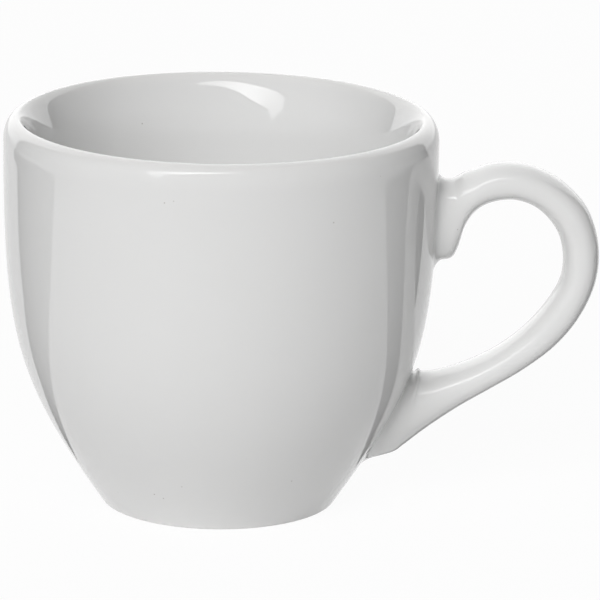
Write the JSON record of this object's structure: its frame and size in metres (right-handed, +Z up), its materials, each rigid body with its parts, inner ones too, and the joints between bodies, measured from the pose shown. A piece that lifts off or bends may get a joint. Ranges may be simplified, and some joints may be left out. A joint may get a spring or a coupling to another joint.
{
  "type": "coffee cup",
  "caption": "Thick-walled round coffee cup with a lip flared on the inside, a wall that curves in to a hollow turned foot, and a loop handle with a heel above and a flared root below.",
  "frame": {"origin": "centre of the ring that the cup stands on, on the table plane and on the bowl's axis", "axes": "+Z up along the bowl's axis, +X from the axis out through the middle of the handle, Y across the handle"},
  "size_m": [0.1099, 0.08, 0.0725],
  "materials": {
    "glazed_porcelain": "white hard porcelain under a smooth clear gloss glaze; the narrow ring that it stands on is bare and matt"
  },
  "bodies": {
    "root": {"cup_body": "glazed_porcelain", "handle": "glazed_porcelain", "upper_slip_joint": "glazed_porcelain", "lower_slip_joint": "glazed_porcelain"}
  },
  "joints": []
}
